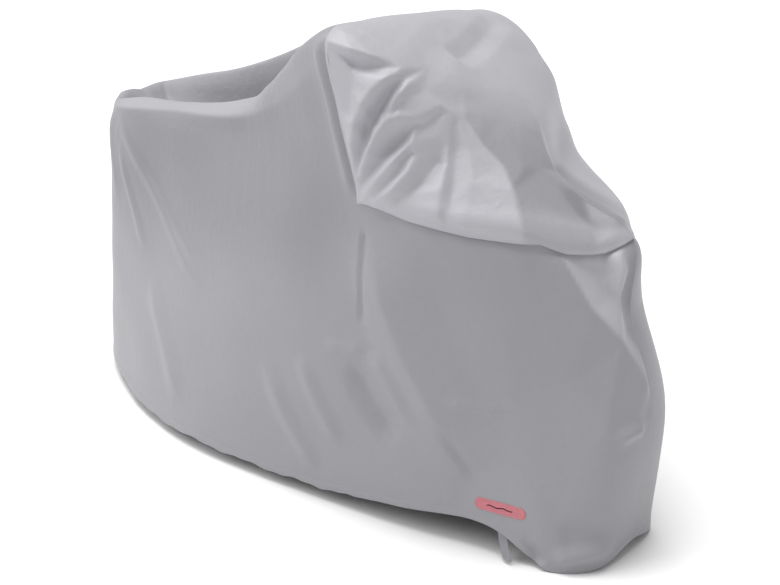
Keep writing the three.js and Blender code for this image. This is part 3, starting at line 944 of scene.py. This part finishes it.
@dataclass
class Panel:
    """One cut of cloth: a fine grid of the folded surface, made thick by a Solidify modifier.

    The cell and the thickness are in millimetres, the flat size and the area in metres.
    """

    name: str
    slot: str
    cell: float
    flat: tuple[float, float]
    area: float
    thickness: float = 1.2

    PROBES = 60
    LONG_SHARE = 0.75

    def lines(self, base: BaseSurface, first: int, last: int, along_stations: bool) -> Array:
        """Grid lines between two whole station or rail numbers, a cell's length apart.

        Args:
            base: the cover without its folds.
            first: first station or rail.
            last: last station or rail.
            along_stations: whether the numbers are stations.

        Returns:
            The lines' numbers.
        """
        probe = np.linspace(0.0, LAST_RAIL if along_stations else LAST_STATION, self.PROBES)
        found = []
        for number in range(first, last):
            low = np.full_like(probe, number)
            if along_stations:
                gaps = base.at(low, probe) - base.at(low + 1.0, probe)
            else:
                gaps = base.at(probe, low) - base.at(probe, low + 1.0)
            length = np.quantile(np.linalg.norm(gaps, axis=1), self.LONG_SHARE) / MM
            count = max(2, math.ceil(length / self.cell))
            found.append(np.linspace(number, number + 1, count, endpoint=False))
        return np.append(np.concatenate(found), last)

    @staticmethod
    def with_lines(lines: Array, *more: Array) -> Array:
        """Grid lines together with more of them, in order."""
        return np.unique(np.round(np.concatenate([lines, *more]), 5))

    @staticmethod
    def arc(points: Array, axis: int) -> Array:
        """Mean length along one direction of a grid of points, from its first line."""
        steps = np.linalg.norm(np.diff(points, axis=axis), axis=2).mean(axis=1 - axis)
        return np.concatenate([[0.0], np.cumsum(steps)])

    def sheet(self, points: Array, faces: Array, painted_shade: Array, material: Material) -> Piece:
        """Makes the panel from its grid, with its thickness, finish and place on the frame.

        Args:
            points: the grid's points.
            faces: the faces to keep.
            painted_shade: how far the colour is darkened at each point, as painted shade.
            material: the panel's finish.

        Returns:
            The panel.
        """
        uv = np.stack(np.meshgrid(self.arc(points, 0), self.arc(points, 1), indexing="ij"), axis=-1)
        piece = mesh_object(
            self.name + "_cloth", points.reshape(-1, 3), faces, uv.reshape(-1, 2), painted_shade.ravel()
        )
        wall = piece.modifiers.new("thickness", "SOLIDIFY")
        wall.thickness = self.thickness * MM
        wall.offset = -1.0
        dress(piece, self.name, material)
        return piece


@dataclass
class SidePanel(Panel):
    """A side panel from the rear centre line to the front one, its hem included.

    It ends under the hood's edge, a seam allowance deep.
    """

    side: Side = Side.NEAR
    drop: float = 12.0
    # Shares of painted shade on the colour: all over, more on the wall under the rim and in the tail's well;
    # and the painted light, less shade, that the rim and the front facet get.
    painted_shade: float = 0.69
    wall_painted_shade: float = 0.27
    well_painted_shade: float = 0.31
    rim_painted_light: float = 0.4
    facet_painted_light: float = 0.62
    # Station, and rail of the front facet's lower edge there.
    facet: tuple[Place, ...] = (
        (9.2, 3.0), (9.27, 2.9), (9.73, 2.23), (10.3, 1.76), (10.82, 1.26), (11.0, 1.1),
    )

    # Millimetres to a station and to a rail, roughly; the seam allowance; the hem's rise and stitches.
    STATION_LENGTH = 200.0
    RAIL_LENGTH = 330.0
    TUCK = 12.0
    TUCK_DEPTH = 1.8
    HEM_LINES = (2.0, 6.0, 12.0, 18.0, 20.0, 22.0, 28.0)
    HEM_RISE = 0.7
    HEM_END = (18.0, 22.0)
    STITCH_LINE = 20.0
    STITCH_WIDTH = 1.5
    STITCH_DEPTH = 0.5
    # Height in millimetres, turns in radians to the station, and phase of the low hem's waves.
    HEM_WAVES = ((2.5, 9.0, 0.0), (1.5, 23.0, 1.0))
    # The seam allowance in stations or rails, and its ease; fine lines at the centre seams; the front's ease.
    EDGE = TUCK / STATION_LENGTH
    EDGE_EASE = (0.0, 0.34)
    SEAM_LINES = (0.02, 0.06)
    FRONT_EASE = 0.15
    # Stations, then rails, over which the sag and the painted light and shade come in or go out.
    SAG_IN, SAG_OUT = (2.6, 3.4), (5.6, 7.0)
    TAIL_IN, WAIST_OUT, BAR_OUT = (1.6, 2.6), (3.8, 4.8), (5.3, 6.1)
    FACET_IN, FACET_OUT = (9.2, 9.4), (10.5, 10.95)
    WALL_IN, WALL_OUT = (1.3, 3.2), (4.42, 4.62)
    RIM_IN, RIM_OUT = (4.45, 4.65), (5.15, 5.45)
    WELL_IN = (5.3, 5.7)
    FAR_RIM_SHIFT = 0.2
    FACET_EDGE, FACET_FOOT = (-0.02, 0.1), (1.2, 2.2)

    def build(self, cloth: Cloth, net: CreaseNet, eyelet: "LockEyelet", material: Material) -> Piece:
        """Cuts the panel from the cloth.

        Args:
            cloth: the folded cloth.
            net: the creases at the front of the near panel.
            eyelet: the eyelet whose hole the near panel has.
            material: the panel's finish.

        Returns:
            The panel.
        """
        near = self.side is Side.NEAR
        tuck = np.array([self.EDGE / 3, self.EDGE])
        seams = np.array(self.SEAM_LINES)
        hem = np.array(self.HEM_LINES) / self.RAIL_LENGTH
        stations = self.lines(cloth.base, 0, LAST_STATION, True)
        rails = self.lines(cloth.base, 0, SPINE_RAIL, False)
        s, t = np.meshgrid(
            self.with_lines(stations, seams, LAST_STATION - seams, BAR_STATION + tuck),
            self.with_lines(rails, hem, BELT_RAIL + tuck), indexing="ij",
        )
        low = t - self.sag(s) * np.clip(1.0 - t, 0.0, 1.0) ** 2
        rail = low if near else LAST_RAIL - low
        points = cloth.at(s.ravel(), rail.ravel(), self.proud(s, t).ravel()).reshape(*s.shape, 3)
        faces = ring_faces(*s.shape, False, False)
        middle_s, middle_t = (grid.ravel()[faces].mean(axis=1) for grid in (s, t))
        keep = (middle_s < BAR_STATION + self.EDGE) | (middle_t < BELT_RAIL + self.EDGE)
        if near:
            hold = 1.0 - smoothstep(s, LAST_STATION - self.FRONT_EASE, LAST_STATION)
            points += hold[..., None] * net.pull(cloth, s, t)
            keep &= ~eyelet.covers(cloth, points.reshape(-1, 3)[faces].mean(axis=1))
        else:
            faces = faces[:, ::-1]
        return self.sheet(points, faces[keep], self.painted_shade_field(s, t), material)

    def sag(self, station: Array) -> Array:
        """How much lower the hem hangs between tail and bar, slightly waved, in rails."""
        waves = sum(height * np.sin(turns * station + phase) for height, turns, phase in self.HEM_WAVES)
        return (self.drop + waves) * band(station, self.SAG_IN, self.SAG_OUT) / self.RAIL_LENGTH

    def proud(self, station: Array, rail: Array) -> Array:
        """Rise off the cloth in metres: sunk under the hood's edge, thick along the stitched hem."""
        under = np.minimum(station - BAR_STATION, rail - BELT_RAIL) / self.EDGE
        height = rail * self.RAIL_LENGTH
        stitches = np.exp(-(((height - self.STITCH_LINE) / self.STITCH_WIDTH) ** 2))
        rise = self.HEM_RISE * (1.0 - smoothstep(height, *self.HEM_END)) - self.STITCH_DEPTH * stitches
        return MM * (rise - self.TUCK_DEPTH * smoothstep(under, *self.EDGE_EASE))

    def painted_shade_field(self, station: Array, rail: Array) -> Array:
        """Painted light and shade on the cloth: darker all over, more under the tail's rim and in its well,
        lighter on rim and front facet.

        Args:
            station: station numbers on a grid.
            rail: rail numbers on the same grid, from the hem.

        Returns:
            Shares from 0 to 1.
        """
        inner = rail - self.FAR_RIM_SHIFT if self.side is Side.FAR else rail
        wall = self.wall_painted_shade * band(rail, self.WALL_IN, self.WALL_OUT)
        well = self.well_painted_shade * smoothstep(inner, *self.WELL_IN)
        rim = smoothstep(rail, *self.RIM_IN) * (1.0 - smoothstep(inner, *self.RIM_OUT))
        share = self.painted_shade + (wall + well) * band(station, self.TAIL_IN, self.BAR_OUT)
        share -= self.rim_painted_light * rim * band(station, self.TAIL_IN, self.WAIST_OUT)
        if self.side is Side.NEAR:
            above = smoothstep(rail - read_off(self.facet, station), *self.FACET_EDGE)
            facet = above * band(station, self.FACET_IN, self.FACET_OUT) * smoothstep(rail, *self.FACET_FOOT)
            share -= self.facet_painted_light * facet
        return share


@dataclass
class HoodPanel(Panel):
    """The hood over the handlebar, from the bar to the nose and from seam to seam.

    Its edge stands proud of the side panels along the seam, most towards the front.
    """

    lip: float = 3.0
    front_lip: float = 7.0
    # Rail, and station of the facet's edge there.
    facet: tuple[Place, ...] = (
        (3.0, 8.62), (3.12, 8.68), (3.56, 8.92), (4.07, 9.15), (4.47, 8.84), (4.8, 8.54),
    )
    # Rail, and share of painted shade on the front slope there.
    slope_painted_shade: tuple[Place, ...] = (
        (3.0, 0.3), (3.2, 0.38), (3.5, 0.66), (3.9, 0.68), (4.2, 0.66), (4.5, 0.6), (5.4, 0.0),
    )
    # Rail, and the station (counted on past the nose) where the slope's painted shade begins to fade.
    slope_reach: tuple[Place, ...] = ((3.0, 12.2), (3.95, 12.1), (4.2, 11.2), (5.4, 11.2))
    # Share of painted shade just past the nose.
    nose_painted_shade: float = 0.6
    # Station, and how far the lower edge lies above its rail there, in rails.
    kinks: tuple[Place, ...] = (
        (6.0, 0.0), (6.9, -0.035), (7.8, -0.05), (8.7, 0.0),
        (8.95, 0.03), (9.4, -0.06), (10.2, -0.07), (11.0, 0.0),
    )

    # Rise of the whole hood in millimetres; then where lip, kinks and creases come in or go out:
    # stations from the bar, or rails from the edge.
    RISE = 0.3
    LIP_FRONT = (8.8, 9.6)
    LIP_BAR, LIP_EDGE = (0.0, 0.3), (0.1, 0.4)
    LIP_TOP = (SPINE_RAIL - 1.0, SPINE_RAIL + 1.0)
    KINK_EDGE = (0.0, 0.5)
    PULL_BAR, PULL_EDGE = (0.0, 0.1), (0.0, 0.08)
    # Stations, then rails, over which the painted shade comes in or goes out.
    SLOPE_EDGE, SLOPE_FADE = (-0.04, 0.12), (0.0, 0.7)
    NOSE_IN, NOSE_OUT = (10.2, 10.6), (11.3, 12.0)
    NOSE_FOOT, NOSE_TOP = (3.08, 3.2), (3.55, 3.85)

    def build(self, cloth: Cloth, net: CreaseNet, material: Material) -> Piece:
        """Cuts the hood from the cloth, pulls it onto its creases and closes it along the nose.

        Args:
            cloth: the folded cloth.
            net: the hood's creases.
            material: the hood's finish.

        Returns:
            The hood.
        """
        stations = self.lines(cloth.base, BAR_STATION, LAST_STATION, True)
        half = self.lines(cloth.base, BELT_RAIL, SPINE_RAIL, False)
        s, t = np.meshgrid(stations, np.concatenate([half, LAST_RAIL - half[-2::-1]]), indexing="ij")
        border = np.minimum(t, LAST_RAIL - t) - BELT_RAIL
        ahead = s - BAR_STATION
        kink = read_off(self.kinks, s) * (1.0 - smoothstep(border, *self.KINK_EDGE))
        t = np.where(t < SPINE_RAIL, t + kink, t - kink)
        lip = self.lip + (self.front_lip - self.lip) * smoothstep(s, *self.LIP_FRONT)
        lip *= (1.0 - smoothstep(border, *self.LIP_EDGE)) * smoothstep(ahead, *self.LIP_BAR)
        lip *= 1.0 - smoothstep(t, *self.LIP_TOP)
        points = cloth.at(s.ravel(), t.ravel(), MM * (self.RISE + lip).ravel()).reshape(*s.shape, 3)
        hold = smoothstep(ahead, *self.PULL_BAR) * smoothstep(border, *self.PULL_EDGE)
        points += hold[..., None] * net.pull(cloth, s, t)
        points[-1] = 0.5 * (points[-1] + points[-1, ::-1])
        number = np.arange(s.size).reshape(s.shape)
        number[-1] = np.minimum(number[-1], number[-1, ::-1])
        faces = number.ravel()[ring_faces(*s.shape, False, False)]
        return self.sheet(points, faces, self.painted_shade_field(s, t), material)

    def painted_shade_field(self, station: Array, rail: Array) -> Array:
        """Painted shade on the cloth: darker on the front slope, ahead of the facet's edge, and past the nose.

        Args:
            station: station numbers on a grid.
            rail: rail numbers on the same grid.

        Returns:
            Shares from 0 to 1.
        """
        ahead, above = other_half(station, rail, rail > SPINE_RAIL)
        slope = smoothstep(ahead - read_off(self.facet, above), *self.SLOPE_EDGE)
        slope *= 1.0 - smoothstep(ahead - read_off(self.slope_reach, above), *self.SLOPE_FADE)
        nose = band(ahead, self.NOSE_IN, self.NOSE_OUT) * band(above, self.NOSE_FOOT, self.NOSE_TOP)
        return np.minimum(slope * read_off(self.slope_painted_shade, above) + self.nose_painted_shade * nose, 1.0)


@dataclass
class LockEyelet:
    """The oval lock eyelet: a soft moulded ring with a rolled rim and a lip round its slit.

    Sizes are in millimetres. The slit is slightly waved, and the cloth's hole is a margin wider.
    """

    name: str = "lock_eyelet"
    slot: str = "eyelet_red"
    length: float = 136.0
    height: float = 32.0
    slit_length: float = 68.0
    slit_height: float = 3.4
    wave: float = 1.6
    wave_length: float = 34.0
    round_steps: int = 128
    # Share of the way from slit to rim, and height over the cloth, round the section.
    section: tuple[Place, ...] = (
        (0.0, -1.6), (0.0, 0.6), (0.03, 1.7), (0.1, 2.3), (0.19, 2.2), (0.27, 1.6), (0.36, 1.25), (0.6, 1.2),
        (0.76, 1.3), (0.84, 1.8), (0.91, 2.0), (0.97, 1.5), (1.0, 0.7), (1.0, 0.1), (0.94, -0.2), (0.5, -2.6),
        (0.1, -2.6),
    )
    hole_margin: float = 6.5

    STRAIGHT = 3.0

    @classmethod
    def oval(cls, length: float, height: float, turn: Array) -> Array:
        """Flat oval with straight long sides: a circle stretched apart at its middle.

        Args:
            length: whole length.
            height: whole height.
            turn: angles round it.

        Returns:
            Points along and across.
        """
        radius = height / 2.0
        reach = length / 2.0 - radius
        spread = np.clip(np.cos(turn) * cls.STRAIGHT, -1.0, 1.0)
        return np.stack([radius * np.cos(turn) + reach * spread, radius * np.sin(turn)], axis=1)

    def seat(self, cloth: Cloth) -> Seat:
        """The eyelet's flat seat on the cloth."""
        return cloth.seat(cloth.eyelet_place, cloth.eyelet_tilt, folded=False)

    def covers(self, cloth: Cloth, points: Array) -> Array:
        """Whether points lie behind the eyelet, in the cloth's hole.

        Args:
            cloth: the folded cloth.
            points: points to test.

        Returns:
            True for each point in the hole.
        """
        seat = self.seat(cloth)
        offset = points - seat.centre
        along = np.abs(offset @ seat.long)
        across = np.abs(offset @ seat.across)
        reach = (self.slit_length - self.slit_height) / 2.0 * MM
        distance = np.hypot(np.maximum(along - reach, 0.0), across)
        close = np.abs(offset @ seat.out) < self.height * MM
        return close & (distance < (self.slit_height / 2.0 + self.hole_margin) * MM)

    def build(self, cloth: Cloth, material: Material) -> Piece:
        """Carries the section round the oval, from the slit's outline to the rim's.

        Args:
            cloth: the folded cloth.
            material: the eyelet's finish.

        Returns:
            The eyelet.
        """
        turn = np.linspace(0.0, 2.0 * math.pi, self.round_steps, endpoint=False)
        slit = self.oval(self.slit_length, self.slit_height, turn)
        slit[:, 1] += self.wave * np.sin(2.0 * math.pi * slit[:, 0] / self.wave_length)
        rim = self.oval(self.length, self.height, turn)
        share, height = np.array(self.section).T[..., None]
        flat = slit[:, None] * (1.0 - share) + rim[:, None] * share
        local = np.concatenate([flat, np.broadcast_to(height, (*flat.shape[:2], 1))], axis=2)
        points = self.seat(cloth).place(local.reshape(-1, 3) * MM)
        faces = ring_faces(len(turn), len(share), True, True)[:, ::-1]
        piece = mesh_object(self.name + "_ring", points, faces)
        dress(piece, self.name, material)
        return piece


@dataclass
class HemStrap:
    """A short end of webbing, sewn inside the near hem and hanging out below it.

    Sizes are in millimetres, lean and twist in degrees. It is sewn up to a height above the hem, a
    gap inside the cloth's wall, hangs straight until it is clear, and swings out and bends forward
    by the end of its fall.
    """

    name: str = "hem_strap"
    slot: str = "strap_webbing"
    width: float = 25.0
    thickness: float = 2.4
    station: float = 8.22
    sewn: float = 42.0
    gap: float = 0.7
    clear: float = 10.0
    fall: float = 60.0
    swing: float = 20.0
    lean: float = 35.0
    wall: float = 2.0
    twist: float = 16.0
    bend: float = 14.0
    steps: int = 48
    round_steps: int = 20

    FLAT = 1.25
    SWING_POWER = 1.6

    def build(self, cloth: Cloth, material: Material) -> Piece:
        """Carries a flat section with round edges along the strap's side view.

        The strap runs straight down inside the hem. Below it the outward swing grows with a power
        of the fall, and the section turns slowly about the strap's length.

        Args:
            cloth: the folded cloth.
            material: the webbing's finish.

        Returns:
            The strap.
        """
        seat = cloth.seat((self.station, 0.0), self.lean, folded=True)
        down = np.linspace(-self.sewn, self.fall, self.steps)
        loose = np.clip((down - self.clear) / (self.fall - self.clear), 0.0, 1.0)
        out = self.swing * loose**self.SWING_POWER - self.wall - self.gap - self.thickness / 2.0
        count = self.round_steps
        turn = np.linspace(0.0, 2.0 * math.pi, count, endpoint=False)
        wide = np.clip(np.cos(turn) * self.FLAT, -1, 1) * self.width / 2.0
        thick = np.sin(turn) * self.thickness / 2.0
        angle = np.radians(self.twist) * loose[:, None]
        across = wide * np.cos(angle) - thick * np.sin(angle) + self.bend * loose[:, None] ** 2
        proud = wide * np.sin(angle) + thick * np.cos(angle) + out[:, None]
        fallen = np.broadcast_to(down[:, None], across.shape)
        points = seat.place(np.stack([across, -fallen, proud], axis=2).reshape(-1, 3) * MM)
        low = np.arange(count // 2 - 1)
        cap = np.stack([low, low + 1, count - 2 - low, count - 1 - low], axis=1)
        sides = ring_faces(self.steps, count, False, True)
        faces = np.concatenate([sides[:, ::-1], cap[:, ::-1], cap + (self.steps - 1) * count])
        uv = np.stack([np.broadcast_to(wide, across.shape), fallen], axis=2) * MM
        piece = mesh_object(self.name + "_webbing", points, faces, uv.reshape(-1, 2))
        dress(piece, self.name, material)
        return piece


@dataclass(frozen=True)
class Lamp:
    """One soft sun: its strength, the direction that its light comes from and its width in degrees."""

    name: str
    strength: float
    towards: Triple
    angle: float = 40.0

    def build(self) -> None:
        """Hangs the lamp in the scene."""
        lamp = bpy.data.lights.new(self.name, "SUN")
        lamp.energy = self.strength
        lamp.angle = math.radians(self.angle)
        holder = bpy.data.objects.new(self.name, lamp)
        holder.rotation_euler = Vector(self.towards).to_track_quat("Z", "Y").to_euler()
        bpy.context.scene.collection.objects.link(holder)


@dataclass
class Studio:
    """Pale floor, soft light and the camera.

    Places are in metres, heading and pitch in degrees, and the focal length in pixels of the image.
    """

    eye: Triple = (1.88, -2.19, 0.304)
    heading: float = 41.9
    pitch: float = 20.3
    focal_px: float = 1086.0
    image_width: float = 780.0
    sensor: float = 36.0
    floor_size: float = 80.0
    floor_colour: Triple = (0.88, 0.88, 0.885)
    floor_roughness: float = 0.9
    sky: float = 0.5
    lamps: tuple[Lamp, ...] = (
        Lamp("top_light", 2.5, (-0.16, 0.0, 0.98)),
        Lamp("left_light", 1.3, (-0.61, -0.55, 0.57)),
        Lamp("right_light", 0.2, (0.8, 0.0, 0.4)),
    )

    def floor(self) -> Piece:
        """A wide pale floor just under the lowest hem."""
        half = self.floor_size / 2.0
        height = -(BAR_Z + FLOOR_DROP) * MM
        corners = [(-half, -half, height), (half, -half, height), (half, half, height), (-half, half, height)]
        piece = mesh_object("floor", np.array(corners), np.array([[0, 1, 2, 3]]))
        made, nodes = bare_material("pale_floor")
        nodes.surface(Base_Color=(*self.floor_colour, 1.0), Roughness=self.floor_roughness)
        piece.data.materials.append(made)
        return piece

    def light(self) -> None:
        """An even pale sky and soft lamps, most from above and from the left."""
        scene = bpy.context.scene
        scene.world = bpy.data.worlds.new("studio")
        scene.world.use_nodes = True
        background = scene.world.node_tree.nodes["Background"]
        background.inputs["Color"].default_value = (1.0, 1.0, 1.0, 1.0)
        background.inputs["Strength"].default_value = self.sky
        for lamp in self.lamps:
            lamp.build()
        scene.view_settings.view_transform = "Standard"

    def camera(self) -> None:
        """The camera, from its eye point, heading and downward pitch."""
        lens = bpy.data.cameras.new("camera")
        lens.sensor_width = self.sensor
        lens.lens = self.focal_px / self.image_width * self.sensor
        holder = bpy.data.objects.new("camera", lens)
        holder.location = self.eye
        holder.rotation_euler = (math.radians(90.0 - self.pitch), 0.0, math.radians(self.heading))
        bpy.context.scene.collection.objects.link(holder)
        bpy.context.scene.camera = holder


SILVER = (0.38, 0.377, 0.404)
COVER_CLOTH = WovenFinish(
    "silver_cover_cloth", SILVER, pitch=1.1, roughness=0.5, sheen=0.1,
    crinkle_scale=38.0, crinkle_depth=3.0, thread_depth=0.12, shaded_colour_share=0.56,
)
HOOD_CLOTH = WovenFinish(
    "silver_hood_cloth", SILVER, pitch=1.1, roughness=0.46, sheen=0.1,
    crinkle_scale=44.0, crinkle_depth=2.4, thread_depth=0.12, shaded_colour_share=0.56,
)
STRAP_WEBBING = WovenFinish(
    "grey_webbing", (0.22, 0.218, 0.236), pitch=2.6, roughness=0.8, sheen=0.2,
    crinkle_scale=90.0, crinkle_depth=0.6, thread_depth=0.5,
)
EYELET_RED = MouldedFinish(
    "faded_red_plastic", colour=(0.46, 0.12, 0.145), faded=(0.5, 0.185, 0.21), roughness=0.6,
)


def main() -> None:
    """Builds the cover's pieces in order, then the studio."""
    logging.basicConfig(level=logging.INFO, format="%(name)s %(message)s")
    cloth = Cloth(BaseSurface(), HOOD_FOLDS + SIDE_FOLDS + SEAM_FOLDS)
    weave = weave_group()
    cover_cloth = COVER_CLOTH.material(weave)
    eyelet = LockEyelet()
    front_net = CreaseNet(FRONT_CREASES, stations=(8.3, 11.0), rails=(0.85, 2.98), blur=1)
    hood_net = CreaseNet(HOOD_CREASES, stations=(6.0, 11.8), rails=(3.0, 5.5))
    near = SidePanel("side_panel_near", "cover_cloth", cell=8.0, flat=(2.65, 1.3), area=2.4, side=Side.NEAR)
    far = SidePanel("side_panel_far", "cover_cloth", cell=8.0, flat=(2.65, 1.4), area=2.6, side=Side.FAR)
    for panel in (near, far):
        panel.build(cloth, front_net, eyelet, cover_cloth)
    hood = HoodPanel("hood_panel", "hood_cloth", cell=5.0, flat=(1.25, 0.85), area=0.68)
    hood.build(cloth, hood_net, HOOD_CLOTH.material(weave))
    eyelet.build(cloth, EYELET_RED.material())
    HemStrap().build(cloth, STRAP_WEBBING.material(weave))
    studio = Studio()
    studio.floor()
    studio.light()
    studio.camera()


if __name__ == "__main__":
    main()
